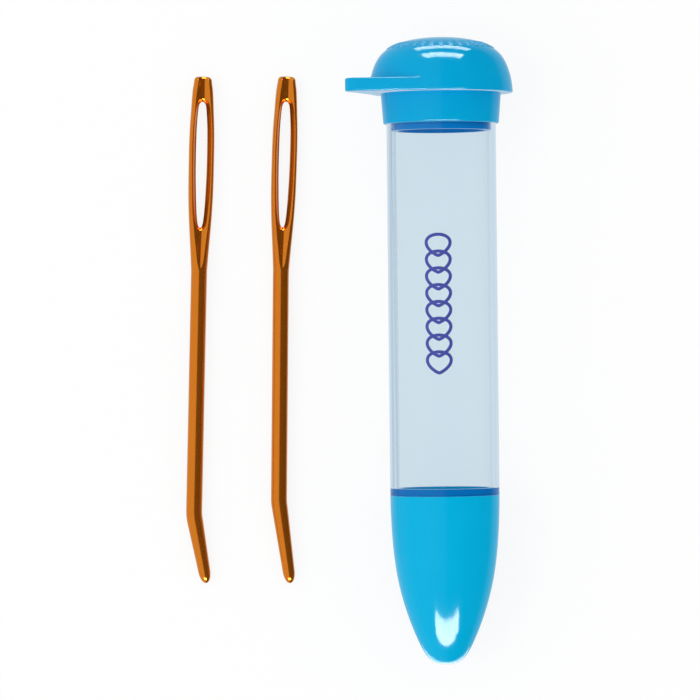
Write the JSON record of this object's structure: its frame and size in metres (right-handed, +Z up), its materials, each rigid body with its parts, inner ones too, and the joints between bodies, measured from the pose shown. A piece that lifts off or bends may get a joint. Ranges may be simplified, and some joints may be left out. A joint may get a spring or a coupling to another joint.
{
  "type": "yarn needle set",
  "caption": "Bent-tip yarn needles with long grooved eyes, beside their clear tube case with a hollow pointed nose and a domed push-on cap with a pull tab.",
  "frame": {"origin": "on the table, under the middle of the set's box", "axes": "+Z up from the table, +Y along the case towards its cap, +X from the needles to the case"},
  "size_m": [0.0494, 0.093, 0.0214],
  "materials": {
    "orange_anodised_aluminium": "bright orange anodising",
    "clear_blue_plastic": "clear pale-blue extruded tube",
    "sky_blue_plastic": "opaque glossy moulded plastic"
  },
  "bodies": {
    "case": {"case_tube": "clear_blue_plastic", "case_nose": "sky_blue_plastic"},
    "cap": {"case_cap": "sky_blue_plastic"},
    "left_needle": {"needle_left": "orange_anodised_aluminium"},
    "right_needle": {"needle_right": "orange_anodised_aluminium"}
  },
  "joints": [
    {"name": "cap_pull", "type": "slide", "parent": "case", "child": "cap", "axis": [0, 0.9991, 0.0425], "range_m": [0, 0.03]},
    {"name": "left_needle_lift", "type": "slide", "parent": "case", "child": "left_needle", "axis": [0, 0, 1], "range_m": [0, 0.04]},
    {"name": "right_needle_lift", "type": "slide", "parent": "case", "child": "right_needle", "axis": [0, 0, 1], "range_m": [0, 0.04]}
  ]
}
